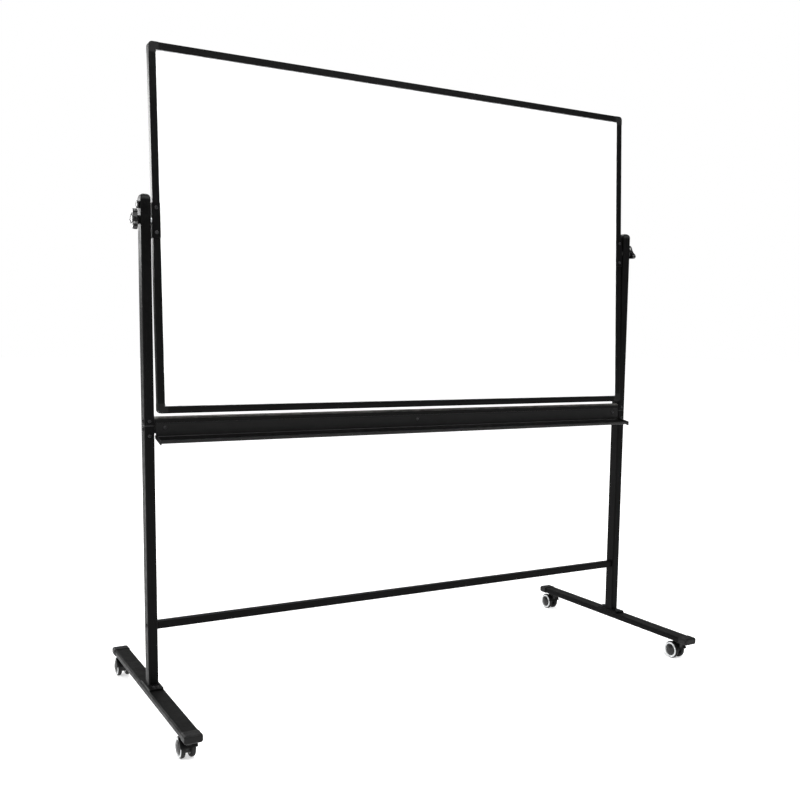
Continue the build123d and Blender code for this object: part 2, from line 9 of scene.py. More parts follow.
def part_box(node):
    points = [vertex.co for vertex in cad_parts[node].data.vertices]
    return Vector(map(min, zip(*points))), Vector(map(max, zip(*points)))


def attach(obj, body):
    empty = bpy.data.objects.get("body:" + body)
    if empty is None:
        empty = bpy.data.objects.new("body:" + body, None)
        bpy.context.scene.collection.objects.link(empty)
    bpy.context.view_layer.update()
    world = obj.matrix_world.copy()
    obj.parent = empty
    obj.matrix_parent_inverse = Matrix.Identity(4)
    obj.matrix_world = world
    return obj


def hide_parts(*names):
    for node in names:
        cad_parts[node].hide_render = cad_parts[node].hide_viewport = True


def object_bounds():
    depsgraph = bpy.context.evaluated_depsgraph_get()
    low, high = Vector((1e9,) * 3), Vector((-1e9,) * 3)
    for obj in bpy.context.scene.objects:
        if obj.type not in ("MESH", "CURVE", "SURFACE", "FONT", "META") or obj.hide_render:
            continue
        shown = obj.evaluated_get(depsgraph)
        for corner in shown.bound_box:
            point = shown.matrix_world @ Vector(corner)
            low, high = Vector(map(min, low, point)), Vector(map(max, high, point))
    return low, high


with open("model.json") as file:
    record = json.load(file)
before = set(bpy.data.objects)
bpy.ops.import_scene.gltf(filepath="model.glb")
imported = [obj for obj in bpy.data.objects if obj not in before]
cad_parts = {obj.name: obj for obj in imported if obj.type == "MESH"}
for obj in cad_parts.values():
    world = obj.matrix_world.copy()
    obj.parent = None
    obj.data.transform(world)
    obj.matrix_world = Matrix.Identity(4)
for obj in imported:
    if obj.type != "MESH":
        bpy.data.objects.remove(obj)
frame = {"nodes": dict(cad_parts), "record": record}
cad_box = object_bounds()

nodes = frame["nodes"]
scene = bpy.context.scene
MM = 0.001

BODY_OF = {node: body for body, members in frame["record"]["behaviour"]["bodies"].items() for node in members}
SLOT_OF = {entry["node"]: entry["material_slot"] for entry in frame["record"]["subparts"]}
CASTERS = ("front_left", "front_right", "rear_left", "rear_right")
SIDES = {"left": -1, "right": 1}


# ---------------------------------------------------------------- materials
class Graph:
    """A short way to write one material's node tree."""

    def __init__(self, name):
        self.material = bpy.data.materials.new(name)
        self.material.use_nodes = True
        self.tree = self.material.node_tree
        self.shader = self.tree.nodes["Principled BSDF"]
        self.coords = self.node("ShaderNodeTexCoord").outputs["Object"]

    def node(self, kind, inputs=None, **settings):
        made = self.tree.nodes.new(kind)
        for key, value in settings.items():
            setattr(made, key, value)
        for key, value in (inputs or {}).items():
            if isinstance(value, bpy.types.NodeSocket):
                self.tree.links.new(value, made.inputs[key])
            else:
                made.inputs[key].default_value = value
        return made

    def mapping(self, scale=(1, 1, 1), location=(0, 0, 0)):
        made = self.node("ShaderNodeMapping", {"Vector": self.coords, "Scale": scale, "Location": location})
        return made.outputs["Vector"]

    def noise(self, scale, detail, roughness=0.55, vector=None, distortion=0.0):
        made = self.node("ShaderNodeTexNoise", {
            "Vector": vector or self.coords,
            "Scale": scale,
            "Detail": detail,
            "Roughness": roughness,
            "Distortion": distortion,
        })
        return made.outputs["Fac"]

    def cells(self, scale):
        made = self.node("ShaderNodeTexVoronoi", {"Vector": self.coords, "Scale": scale}, feature="F1")
        return made.outputs["Distance"]

    def ramp(self, value, stops):
        made = self.node("ShaderNodeValToRGB", {"Fac": value})
        ramp = made.color_ramp
        while len(ramp.elements) < len(stops):
            ramp.elements.new(0.5)
        for element, (place, colour) in zip(ramp.elements, stops):
            element.position = place
            element.color = (*colour, 1) if len(colour) == 3 else colour
        return made.outputs["Color"]

    def remap(self, value, low, high, start=0.0, end=1.0):
        made = self.node("ShaderNodeMapRange", {"Value": value, "From Min": start, "From Max": end,
                                                "To Min": low, "To Max": high}, clamp=True)
        return made.outputs["Result"]

    def math(self, operation, first, second):
        return self.node("ShaderNodeMath", {0: first, 1: second}, operation=operation).outputs[0]

    def mix(self, share, first, second):
        made = self.node("ShaderNodeMix", data_type="RGBA")
        for index, value in ((0, share), (6, first), (7, second)):
            if isinstance(value, bpy.types.NodeSocket):
                self.tree.links.new(value, made.inputs[index])
            else:
                made.inputs[index].default_value = value if index == 0 else (*value, 1)
        return made.outputs[2]

    def bump(self, height, strength, distance, below=None):
        inputs = {"Height": height, "Strength": strength, "Distance": distance}
        if below is not None:
            inputs["Normal"] = below
        return self.node("ShaderNodeBump", inputs).outputs["Normal"]

    def up(self, start):
        """How far the surface faces up, 0 to 1; it is 0 until its normal's height reaches start."""
        normal = self.node("ShaderNodeNewGeometry").outputs["Normal"]
        height = self.node("ShaderNodeSeparateXYZ", {0: normal}).outputs["Z"]
        return self.remap(height, 0.0, 1.0, start, 0.98)

    def finish(self, colour, roughness, normal=None, **uniform):
        for key, value in (("Base Color", colour), ("Roughness", roughness), ("Normal", normal)):
            if isinstance(value, bpy.types.NodeSocket):
                self.tree.links.new(value, self.shader.inputs[key])
            elif value is not None:
                self.shader.inputs[key].default_value = (*value, 1) if key == "Base Color" else value
        for key, value in uniform.items():
            self.shader.inputs[key.replace("_", " ")].default_value = value
        return self.material


def powder_coat(name, tone, dust_and_sheen=0.0, dust_and_sheen_from=0.55, scuffs=0.0, shine=0.05):
    """Satin paint on steel: orange peel and fine specks, with scuffs where they are asked for, and a lighter
    grey on upward faces that is faint dust at low strength and mostly a painted highlight at high strength.
    """
    g = Graph(name)
    drift = g.noise(7.0, 3.0)
    fleck = g.noise(900.0, 2.0)
    colour = g.ramp(drift, [(0.3, [tone * 0.72] * 3), (0.7, [tone * 1.25, tone * 1.25, tone * 1.3])])
    colour = g.mix(g.remap(fleck, 0.0, 0.35, 0.62, 0.8), colour, (tone * 2.4,) * 3)
    # upward faces turn a lighter grey here: a little of it is dust, and a strong amount is a painted
    # highlight on rounded top edges
    if dust_and_sheen:
        film = g.remap(g.noise(38.0, 6.0, 0.7), dust_and_sheen * 0.4, dust_and_sheen, 0.38, 0.72)
        dust_and_sheen_patch = g.math("MULTIPLY", g.up(dust_and_sheen_from), film)
        # the grey (0.30, 0.29, 0.275) is dust colour, and where strong it is a painted highlight
        colour = g.mix(dust_and_sheen_patch, colour, (0.30, 0.29, 0.275))
    roughness = g.remap(g.noise(60.0, 5.0), 0.30, 0.46, 0.3, 0.7)
    if scuffs:
        streak = g.noise(55.0, 6.0, 0.75, g.mapping((1.0, 0.22, 2.6)), 1.2)
        mark = g.remap(streak, 0.0, scuffs, 0.66, 0.76)
        colour = g.mix(mark, colour, (tone * 7.0,) * 3)
        roughness = g.math("ADD", roughness, g.math("MULTIPLY", mark, 0.2))
    peel = g.bump(g.noise(420.0, 2.0, 0.5), 0.22, 0.0006)
    grain = g.bump(g.noise(2600.0, 1.0), 0.12, 0.0002, peel)
    return g.finish(colour, roughness, grain, Specular_IOR_Level=shine)


def anodised(name, tone, along):
    """Black anodised extrusion: faint die lines that run along one axis."""
    g = Graph(name)
    stretch = [640.0, 640.0, 640.0]
    stretch["XYZ".index(along)] = 5.0
    lines = g.noise(1.0, 4.0, 0.6, g.mapping(stretch))
    drift = g.noise(11.0, 3.0)
    colour = g.ramp(drift, [(0.3, [tone * 0.75] * 3), (0.7, [tone * 1.25] * 3)])
    colour = g.mix(g.remap(lines, 0.0, 0.45, 0.52, 0.78), colour, (tone * 2.6, tone * 2.6, tone * 2.7))
    roughness = g.remap(lines, 0.27, 0.42, 0.3, 0.7)
    normal = g.bump(lines, 0.10, 0.0003)
    normal = g.bump(g.noise(1500.0, 1.0), 0.05, 0.0002, normal)
    return g.finish(colour, roughness, normal, Metallic=0.2, Specular_IOR_Level=0.10)


def enamel(name):
    """White writing enamel: long waviness in the gloss, and wiped ghosts of old marker that barely show."""
    g = Graph(name)
    wipe = g.noise(2.1, 6.0, 0.6, g.mapping((1.0, 1.0, 2.4)), 1.6)
    smear = g.noise(9.0, 7.0, 0.68, g.mapping((0.7, 1.0, 1.9), (3.0, 1.0, 2.0)), 2.2)
    colour = g.ramp(wipe, [(0.35, (0.865, 0.872, 0.878)), (0.62, (0.885, 0.888, 0.89))])
    colour = g.mix(g.remap(smear, 0.0, 0.14, 0.60, 0.74), colour, (0.80, 0.815, 0.83))
    roughness = g.remap(smear, 0.13, 0.26, 0.35, 0.72)
    normal = g.bump(g.noise(26.0, 2.0), 0.05, 0.0012)
    normal = g.bump(g.noise(700.0, 2.0), 0.03, 0.0002, normal)
    return g.finish(colour, roughness, normal, Coat_Weight=0.25, Coat_Roughness=0.08)


def moulded(name, tone, roughness, grain=1700.0, depth=0.2, tint=(1, 1, 1), shine=0.45):
    """Injection-moulded plastic: spark-eroded grain, faint flow marks and rubbed patches."""
    g = Graph(name)
    flow = g.noise(34.0, 4.0, 0.6, g.mapping((1.0, 1.6, 0.5)), 0.8)
    colour = g.ramp(flow, [(0.32, [tone * 0.75 * t for t in tint]), (0.7, [tone * 1.3 * t for t in tint])])
    rub = g.remap(g.noise(85.0, 5.0, 0.7), 0.0, 0.35, 0.58, 0.74)
    colour = g.mix(rub, colour, tuple(min(0.9, tone * 2.1 * t) for t in tint))
    rough = g.remap(g.noise(120.0, 4.0), roughness - 0.07, roughness + 0.09, 0.3, 0.7)
    pits = g.bump(g.cells(grain), depth, 0.00025)
    return g.finish(colour, rough, pits, Specular_IOR_Level=shine)


def tyre_rubber(name):
    """Polyurethane tread: nearly smooth and dull, with a thin uneven film of dust."""
    g = Graph(name)
    film = g.remap(g.noise(140.0, 6.0, 0.72), 0.0, 0.4, 0.42, 0.72)
    colour = g.ramp(g.noise(50.0, 3.0), [(0.3, (0.005, 0.005, 0.0052)), (0.7, (0.011, 0.011, 0.0115))])
    colour = g.mix(film, colour, (0.040, 0.038, 0.036))
    rough = g.remap(g.noise(220.0, 4.0), 0.5, 0.72, 0.3, 0.7)
    normal = g.bump(g.noise(650.0, 4.0, 0.65), 0.22, 0.0005)
    return g.finish(colour, rough, normal, Specular_IOR_Level=0.2)


def plated(name, tone, tint=(1, 1, 1), roughness=0.3, lines=(900.0, 900.0, 900.0)):
    """Turned or pressed metal with fine tool marks and slightly uneven plating."""
    g = Graph(name)
    marks = g.noise(1.0, 5.0, 0.62, g.mapping(lines))
    cloud = g.noise(120.0, 4.0, 0.6)
    colour = g.ramp(cloud, [(0.3, [tone * 0.72 * t for t in tint]), (0.72, [tone * 1.12 * t for t in tint])])
    rough = g.remap(marks, roughness - 0.08, roughness + 0.14, 0.3, 0.7)
    normal = g.bump(marks, 0.12, 0.00025)
    return g.finish(colour, rough, normal, Metallic=1.0)


def fibreboard(name):
    """Pressed wood fibre, seen only if the frame is taken off."""
    g = Graph(name)
    fibres = g.noise(1.0, 6.0, 0.7, g.mapping((260.0, 900.0, 900.0)), 1.0)
    colour = g.ramp(fibres, [(0.3, (0.33, 0.24, 0.15)), (0.7, (0.58, 0.46, 0.33))])
    return g.finish(colour, g.remap(fibres, 0.7, 0.9), g.bump(fibres, 0.3, 0.0005))


def studio_floor(name):
    """Plain pale floor, barely uneven; its glow grows with distance, so that it has no far edge."""
    g = Graph(name)
    away = g.node("ShaderNodeVectorMath", {0: g.coords}, operation="LENGTH").outputs["Value"]
    glow = g.remap(away, 0.55, 1.0, 1.5, 5.0)
    mottle = g.noise(1.3, 5.0, 0.6)
    fine = g.noise(240.0, 3.0)
    colour = g.ramp(mottle, [(0.3, (0.86, 0.86, 0.862)), (0.7, (0.885, 0.885, 0.886))])
    g.tree.links.new(glow, g.shader.inputs["Emission Strength"])
    return g.finish(colour, g.remap(fine, 0.72, 0.86, 0.3, 0.7), g.bump(fine, 0.04, 0.0004),
                    Specular_IOR_Level=0.1, Emission_Color=(1.0, 1.0, 1.0, 1.0))


paint = powder_coat("stand_powder_coat", 0.0022, scuffs=0.08)
foot_paint = powder_coat("foot_powder_coat", 0.0022, dust_and_sheen=0.02, scuffs=0.10, shine=0.04)
# the strong grey on the beam's upward and top-edge faces is mostly a painted highlight of its rounded top
# edge, with a little dust
beam_paint = powder_coat("beam_powder_coat", 0.0022, dust_and_sheen=0.9, dust_and_sheen_from=0.2, scuffs=0.08, shine=0.10)
tray_paint = powder_coat("tray_satin_black", 0.0022, shine=0.16)
rail_long = anodised("rail_black_long", 0.0024, "X")
rail_short = anodised("rail_black_short", 0.0024, "Z")
white_face = enamel("writing_enamel")
core_wood = fibreboard("core_fibreboard")
cap_plastic = moulded("cap_plastic", 0.0040, 0.46, shine=0.16)
corner_plastic = moulded("corner_plastic", 0.0036, 0.42, shine=0.16)
knob_plastic = moulded("knob_plastic", 0.0035, 0.22, 2600.0, 0.06, shine=0.5)
hood_plastic = moulded("hood_plastic", 0.0040, 0.40, 1900.0, 0.16, shine=0.2)
hub_plastic = moulded("hub_plastic", 0.0040, 0.24, 2600.0, 0.06, shine=0.3)
bush_plastic = moulded("bush_plastic", 0.03, 0.4)
ring_plastic = moulded("ring_plastic", 0.62, 0.30, 2400.0, 0.06, (0.97, 0.99, 1.0), 0.5)
tread = tyre_rubber("tyre_tread")
zinc = plated("zinc_steel", 0.62, (0.98, 1.0, 1.02))
black_oxide = plated("black_oxide_steel", 0.045, (1.0, 1.0, 1.03), 0.34)
dark_joint = plated("dark_joint", 0.05, (1.0, 1.0, 1.03), 0.36, (300.0, 300.0, 1800.0))
brass = plated("turned_brass", 0.72, (1.0, 0.78, 0.40), 0.28, (1600.0, 300.0, 300.0))

FINISHES = {
    "stand_paint": paint,
    "frame_black": rail_long,
    "tray_black": tray_paint,
    "black_plastic": cap_plastic,
    "knob_plastic": knob_plastic,
    "writing_surface": white_face,
    "core_board": core_wood,
    "bright_steel": zinc,
    "dark_steel": black_oxide,
    "joint_metal": dark_joint,
    "insert_brass": brass,
    "bush_nylon": bush_plastic,
    "tyre_black": tread,
    "ring_grey": ring_plastic,
}
SPECIAL = {
    "left_rail": rail_short,
    "right_rail": rail_short,
    "left_foot": foot_paint,
    "right_foot": foot_paint,
    "base_plates": foot_paint,
    "tray_beam": beam_paint,
    "corner_caps": corner_plastic,
}
SPECIAL.update({f"{caster}_caster_hood": hood_plastic for caster in CASTERS})


def dress(node):
    """Gives a CAD node its own material, or the one of its slot."""
    materials = nodes[node].data.materials
    materials.clear()
    materials.append(SPECIAL.get(node) or FINISHES[SLOT_OF[node]])


def soften(node, width):
    """Breaks the sharp edges of a CAD node a little, as real pressed or moulded pieces have them."""
    bevel = nodes[node].modifiers.new("broken_edges", "BEVEL")
    bevel.width = width
    bevel.segments = 2
    bevel.limit_method = "ANGLE"
    bevel.angle_limit = math.radians(50)
    bevel.harden_normals = True


for cad_node in nodes:
    dress(cad_node)
for caster in CASTERS:
    soften(f"{caster}_caster_hood", 0.6 * MM)
soften("pivot_brackets", 0.35 * MM)
soften("base_plates", 0.7 * MM)
soften("tray_end_caps", 0.4 * MM)

# ---------------------------------------------------------------- shapes
def round_angles(count):
    """Evenly spaced angles of one full turn."""
    return [math.tau * i / count for i in range(count)]


ROUND = round_angles(64)


def ring_points(centre, out, across, angles, axial, reach):
    """Points round an axis: out is the axis, across is where angle 0 lies."""
    third = out.cross(across)
    points = []
    for angle in angles:
        radius = reach(angle) if callable(reach) else reach
        points.append(centre + out * axial + (across * math.cos(angle) + third * math.sin(angle)) * radius)
    return points


def turned(bm, centre, out, across, rings, angles=ROUND):
    """A skin through rings of (distance along the axis, radius or radius by angle); radius 0 closes it."""
    centre, out, across = Vector(centre), Vector(out), Vector(across)
    last = None
    for axial, reach in rings:
        if reach == 0:
            row = [bm.verts.new(centre + out * axial)]
        else:
            row = [bm.verts.new(p) for p in ring_points(centre, out, across, angles, axial, reach)]
        if last:
            count = len(angles)
            for i in range(count):
                j = (i + 1) % count
                corners = [last[i % len(last)], last[j % len(last)], row[j % len(row)], row[i % len(row)]]
                unique = list(dict.fromkeys(corners))
                if len(unique) > 2:
                    bm.faces.new(unique)
        last = row


def rounded_profile(corners):
    """A closed outline of (axial, radius, fillet) corners, with each fillet drawn as a curve."""
    steps = 4
    made = []
    for i, (a, r, fillet) in enumerate(corners):
        here = Vector((a, r))
        before = Vector(corners[i - 1][:2]) - here
        after = Vector(corners[(i + 1) % len(corners)][:2]) - here
        if not fillet:
            made.append((a, r))
            continue
        cut = min(fillet, before.length * 0.49, after.length * 0.49)
        start, end = here + before.normalized() * cut, here + after.normalized() * cut
        for step in range(steps + 1):
            t = step / steps
            made.append(tuple(start * (1 - t) ** 2 + here * 2 * t * (1 - t) + end * t * t))
    return made


def closed_turned(bm, centre, out, across, corners):
    """A ring-shaped solid whose cross-section is the rounded outline."""
    profile = rounded_profile(corners)
    turned(bm, centre, out, across, profile + profile[:1])


def piece(name, bm, finish, body, replaces=(), crease=38):
    """Makes the object, shades it smooth except at its creases, and sets it on its body."""
    bmesh.ops.remove_doubles(bm, verts=bm.verts, dist=1e-6)
    bmesh.ops.recalc_face_normals(bm, faces=bm.faces)
    mesh = bpy.data.meshes.new(name)
    bm.to_mesh(mesh)
    bm.free()
    mesh.materials.append(finish)
    mesh.shade_smooth()
    mesh.set_sharp_from_angle(angle=math.radians(crease))
    obj = bpy.data.objects.new(name, mesh)
    scene.collection.objects.link(obj)
    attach(obj, body)
    if replaces:
        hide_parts(*replaces)


def cross_reach(half_width, half_length):
    """The outline of a cross-shaped driver recess as a radius by angle."""
    def reach(angle):
        arm = (angle + math.pi / 4) % (math.pi / 2) - math.pi / 4
        if abs(math.tan(arm)) <= half_width / half_length:
            return half_length / math.cos(arm)
        return half_width / abs(math.sin(arm))
    return reach


def hexagon_reach(flats):
    """A hexagon's outline as a radius by angle, from its size across flats."""
    def reach(angle):
        step = math.tau / 6
        return flats / 2 / math.cos((angle + step / 2) % step - step / 2)
    return reach


def middle(node):
    low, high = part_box(node)
    return (low + high) / 2


def parts_of(node):
    """The boxes of a CAD node's separate solids, as (low, high) corners."""
    bm = bmesh.new()
    bm.from_mesh(nodes[node].data)
    bmesh.ops.remove_doubles(bm, verts=bm.verts, dist=1e-6)
    left, boxes = set(bm.verts), []
    while left:
        stack = [left.pop()]
        low, high = stack[0].co.copy(), stack[0].co.copy()
        while stack:
            vert = stack.pop()
            low, high = Vector(map(min, low, vert.co)), Vector(map(max, high, vert.co))
            for edge in vert.link_edges:
                other = edge.other_vert(vert)
                if other in left:
                    left.remove(other)
                    stack.append(other)
        boxes.append((low, high))
    bm.free()
    return sorted(boxes, key=lambda box: tuple(round(c, 4) for c in (box[0] + box[1]) / 2))


# ---------------------------------------------------------------- wheels
def caster_wheel(caster, which):
    """Tyre, hub and bright ring of one wheel; the axial places are measured from the wheel's inner face."""
    wheel_node = f"{caster}_{which}_wheel"
    ring_node = f"{caster}_{which}_trim_ring"
    body = BODY_OF[wheel_node]
    low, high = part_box(wheel_node)
    side = SIDES[which]
    inner = high.x if side < 0 else low.x
    centre = Vector((inner, (low.y + high.y) / 2, (low.z + high.z) / 2))
    radius = (high.z - low.z) / 2
    depth = high.x - low.x
    out, across = Vector((side, 0, 0)), Vector((0, 1, 0))
    ring_low, ring_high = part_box(ring_node)
    ring_seat = abs((ring_high.x if side < 0 else ring_low.x) - inner)
    ring_front = abs((ring_low.x if side < 0 else ring_high.x) - inner)
    ring_radius = (ring_high.z - ring_low.z) / 2
    bore = 3.1 * MM
    seat = ring_radius - 5.3 * MM

    bm = bmesh.new()
    face = ring_seat + 1.2 * MM
    closed_turned(bm, centre, out, across, [
        (0.2 * MM, seat, 0),
        (0.2 * MM, radius - 3.2 * MM, 0.8 * MM),
        (1.4 * MM, radius - 1.0 * MM, 1.2 * MM),
        (face * 0.36, radius, 1.8 * MM),
        (face * 0.64, radius, 1.8 * MM),
        (face - 1.5 * MM, radius - 0.9 * MM, 1.2 * MM),
        (face - 0.1 * MM, radius - 2.4 * MM, 0.6 * MM),
        (ring_seat + 0.5 * MM, ring_radius, 0),
        (ring_seat - 0.4 * MM, ring_radius, 0),
        (ring_seat - 0.4 * MM, seat, 0),
    ])
    piece(f"{caster}_{which}_tyre", bm, tread, body, [wheel_node])

    bm = bmesh.new()
    hub_rim = seat - 0.05 * MM
    crown = [(ring_seat - 0.6 * MM, hub_rim), (ring_seat + 1.6 * MM, hub_rim)]
    crown += [(ring_seat + 1.95 * MM, hub_rim - 0.25 * MM), (ring_seat + 2.15 * MM, hub_rim - 0.8 * MM)]
    for share in (0.90, 0.84, 0.76, 0.66, 0.56, 0.47):
        crown.append((depth - (depth - ring_seat - 2.1 * MM) * share ** 2.1, hub_rim * share))
    lip = crown[-1]
    crown += [(lip[0] + 0.05 * MM, hub_rim * 0.44), (lip[0] - 0.55 * MM, hub_rim * 0.42),
              (lip[0] - 0.55 * MM, hub_rim * 0.395), (lip[0] + 0.25 * MM, hub_rim * 0.37)]
    for share in (0.3, 0.2, 0.1):
        crown.append((depth - (depth - ring_seat - 2.1 * MM) * share ** 2.1, hub_rim * share))
    crown.append((depth, 0))
    back = [(0.0, bore), (0.0, 5.4 * MM), (1.2 * MM, 5.8 * MM), (1.2 * MM, hub_rim - 2.6 * MM),
            (0.2 * MM, hub_rim - 2.0 * MM), (0.2 * MM, hub_rim)]
    turned(bm, centre, out, across, [(9.0 * MM, bore)] + back + crown)
    piece(f"{caster}_{which}_hub", bm, hub_plastic, body)

    bm = bmesh.new()
    closed_turned(bm, centre, out, across, [
        (ring_seat + 0.05 * MM, seat + 0.1 * MM, 0),
        (ring_seat + 0.05 * MM, ring_radius - 0.1 * MM, 0),
        (ring_seat + 1.3 * MM, ring_radius - 0.05 * MM, 0.5 * MM),
        (ring_front - 0.05 * MM, ring_radius - 1.9 * MM, 0.8 * MM),
        (ring_front - 0.1 * MM, seat + 1.3 * MM, 0.7 * MM),
        (ring_front - 0.9 * MM, seat + 0.1 * MM, 0.3 * MM),
    ])
    piece(f"{caster}_{which}_ring", bm, ring_plastic, body, [ring_node])


for caster in CASTERS:
    for which in SIDES:
        caster_wheel(caster, which)


# ---------------------------------------------------------------- knobs
def lobed(base, swing, sharp, first):
    """A three-lobed outline as a radius by angle."""
    def reach(angle):
        phase = 3 * (angle - first)
        return base + swing * math.cos(phase) + sharp * math.cos(2 * phase)
    return reach


FIRST_LOBE = {"left": math.radians(180), "right": math.radians(204)}
KNOB_LOBES = (20.0 * MM, 6.4 * MM, 1.5 * MM)      # mean radius, swing to the lobes, sharpness
KNOB_COLLAR_RADIUS = 10.5 * MM
KNOB_COLLAR_LENGTH = 6.5 * MM
KNOB_BORE_RADIUS = 7.45 * MM
KNOB_BORE_DEPTH = 13.9 * MM
LOCK_HEAD_LENGTH = 6.0 * MM
LOCK_SHANK_RADIUS = 3.0 * MM
LOCK_THREAD_TURNS = 7


def pivot_knob(side_name):
    """The three-lobed knob; places along its axis are measured from its inner face."""
    node = f"{side_name}_pivot_knob"
    side = SIDES[side_name]
    low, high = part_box(node)
    inner = high.x if side < 0 else low.x
    depth = high.x - low.x
    axis_place = middle(f"{side_name}_knob_insert")
    centre = Vector((inner, axis_place.y, axis_place.z))
    out, across = Vector((side, 0, 0)), Vector((0, side, 0))
    collar, bore, start = KNOB_COLLAR_RADIUS, KNOB_BORE_RADIUS, KNOB_COLLAR_LENGTH
    angles = round_angles(120)

    def grip(scale):
        return lobed(*(size * scale for size in KNOB_LOBES), FIRST_LOBE[side_name])

    rings = [(KNOB_BORE_DEPTH, bore), (0.5 * MM, bore), (0.0, bore + 0.4 * MM), (0.0, collar - 0.8 * MM),
             (0.3 * MM, collar - 0.3 * MM), (0.8 * MM, collar), (start - 0.8 * MM, collar),
             (start - 0.2 * MM, collar + 0.5 * MM), (start, collar + 1.2 * MM)]
    rings += [(start + 0.05 * MM, grip(0.90)), (start + 0.5 * MM, grip(0.955)),
              (start + 1.3 * MM, grip(0.985)), (start + 2.6 * MM, grip(1.0)),
              (depth - 3.2 * MM, grip(0.992)), (depth - 1.7 * MM, grip(0.975)),
              (depth - 0.7 * MM, grip(0.94)), (depth - 0.15 * MM, grip(0.885)), (depth, grip(0.83)),
              (depth - 0.1 * MM, grip(0.76)), (depth - 0.7 * MM, 10.6 * MM), (depth - 1.5 * MM, 9.7 * MM),
              (depth - 1.5 * MM, 9.0 * MM), (depth - 0.4 * MM, 8.5 * MM), (depth - 0.1 * MM, 7.4 * MM),
              (depth - 0.02 * MM, 4.0 * MM), (depth, 0)]
    bm = bmesh.new()
    turned(bm, centre, out, across, rings, angles)
    piece(f"{side_name}_clamping_knob", bm, knob_plastic, BODY_OF[node], [node], 50)


def thumb_screw(side_name):
    """The knurled lock screw; places along its axis are measured from under its head."""
    node = f"{side_name}_lock_screw"
    side = SIDES[side_name]
    low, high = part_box(node)
    centre = middle(node)
    outer = low.x if side < 0 else high.x
    tip = high.x if side < 0 else low.x
    head, shank = LOCK_HEAD_LENGTH, LOCK_SHANK_RADIUS
    reach = (high.z - low.z) / 2
    centre = Vector((outer - side * head, centre.y, centre.z))
    out, across = Vector((side, 0, 0)), Vector((0, 1, 0))
    angles = round_angles(144)

    def knurl(scale):
        return lambda a: scale * (reach - 0.75 * MM + 0.7 * MM * math.cos(18 * a))

    length = abs(tip - centre.x)
    rings = [(-length, 0), (-length, 1.7 * MM), (-length + 1.2 * MM, shank)]
    for i in range(LOCK_THREAD_TURNS):
        at = -length + 1.6 * MM + i * MM
        rings += [(at, shank), (at + 0.5 * MM, shank - 0.45 * MM)]
    rings += [(-length + 1.8 * MM + LOCK_THREAD_TURNS * MM, shank), (0, shank), (0, reach * 0.62),
              (0.3 * MM, reach * 0.74), (0.6 * MM, knurl(0.93)), (1.2 * MM, knurl(1.0)),
              (head - 1.2 * MM, knurl(1.0)), (head - 0.45 * MM, knurl(0.95)),
              (head - 0.1 * MM, reach * 0.76), (head - 0.05 * MM, reach * 0.68),
              (head - 0.9 * MM, reach * 0.60), (head - 0.9 * MM, reach * 0.30), (head - 0.5 * MM, 0)]
    bm = bmesh.new()
    turned(bm, centre, out, across, rings, angles)
    piece(f"{side_name}_thumb_screw", bm, knob_plastic, BODY_OF[node], [node], 42)


for side_name in SIDES:
    pivot_knob(side_name)
    thumb_screw(side_name)

# ---------------------------------------------------------------- screws and bolts
CROSS_ANGLES = sorted({round(k * math.pi / 2 + d, 9) % math.tau for k in range(4)
                       for d in (-0.78, -0.6, -0.42, -0.28, -0.16, 0, 0.16, 0.28, 0.42, 0.6, 0.78)})


def pan_head(bm, centre, out, across, radius, height, shank, length):
    """A domed head with a cross recess, on a short shank."""
    wide, slim = cross_reach(0.22 * radius, 0.62 * radius), cross_reach(0.10 * radius, 0.30 * radius)
    turned(bm, centre, out, across, [
        (-length, 0), (-length, shank), (0, shank), (0, radius * 0.97), (height * 0.28, radius),
        (height * 0.62, radius * 0.93), (height * 0.86, radius * 0.80), (height * 0.95, radius * 0.72),
        (height * 0.97, wide), (height * 0.30, slim), (height * 0.22, 0),
    ], CROSS_ANGLES)


def button_head(bm, centre, out, across, radius, height, shank, length):
    """A low round head with a hexagon socket."""
    socket = hexagon_reach(radius * 0.68)
    turned(bm, centre, out, across, [
        (-length, 0), (-length, shank), (0, shank), (0, radius * 0.97), (height * 0.16, radius),
        (height * 0.5, radius * 0.93), (height * 0.78, radius * 0.78), (height * 0.93, radius * 0.62),
        (height, radius * 0.50), (height, lambda a: socket(a) * 1.05), (height * 0.92, socket),
        (height * 0.2, socket), (height * 0.12, 0),
    ], round_angles(48))


def hex_bolt(bm, centre, out, across, flats, height, shank, length):
    """A flanged hexagon head."""
    sides = hexagon_reach(flats)
    turned(bm, centre, out, across, [
        (-length, 0), (-length, shank), (0, shank), (0, flats * 0.57), (0.7 * MM, flats * 0.575),
        (1.1 * MM, sides), (height - 0.9 * MM, sides),
        (height - 0.25 * MM, lambda a: min(sides(a), flats * 0.515)), (height, flats * 0.46),
        (height - 0.25 * MM, flats * 0.40), (height - 0.3 * MM, 0),
    ], round_angles(48))


BUTTON_HEAD = 2.6 * MM
PAN_HEAD = 2.4 * MM
THIN_SHANK = 2.4 * MM

bm = bmesh.new()
for low, high in parts_of("frame_bolts"):
    side = 1 if high.x > 0 else -1
    centre = (low + high) / 2
    outer = high.x if side > 0 else low.x
    start = Vector((outer - side * BUTTON_HEAD, centre.y, centre.z))
    button_head(bm, start, Vector((side, 0, 0)), Vector((0, 1, 0)), (high.z - low.z) / 2,
                height=BUTTON_HEAD, shank=3 * MM, length=20 * MM)
piece("frame_button_bolts", bm, black_oxide, BODY_OF["frame_bolts"], ["frame_bolts"])

bm = bmesh.new()
for low, high in parts_of("base_bolts"):
    centre = (low + high) / 2
    start = Vector((centre.x, centre.y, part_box("base_plates")[1].z))
    hex_bolt(bm, start, Vector((0, 0, 1)), Vector((0, 1, 0)), min(high.x - low.x, high.y - low.y),
             height=high.z - start.z, shank=4 * MM, length=13 * MM)
piece("base_hex_bolts", bm, black_oxide, BODY_OF["base_bolts"], ["base_bolts"])

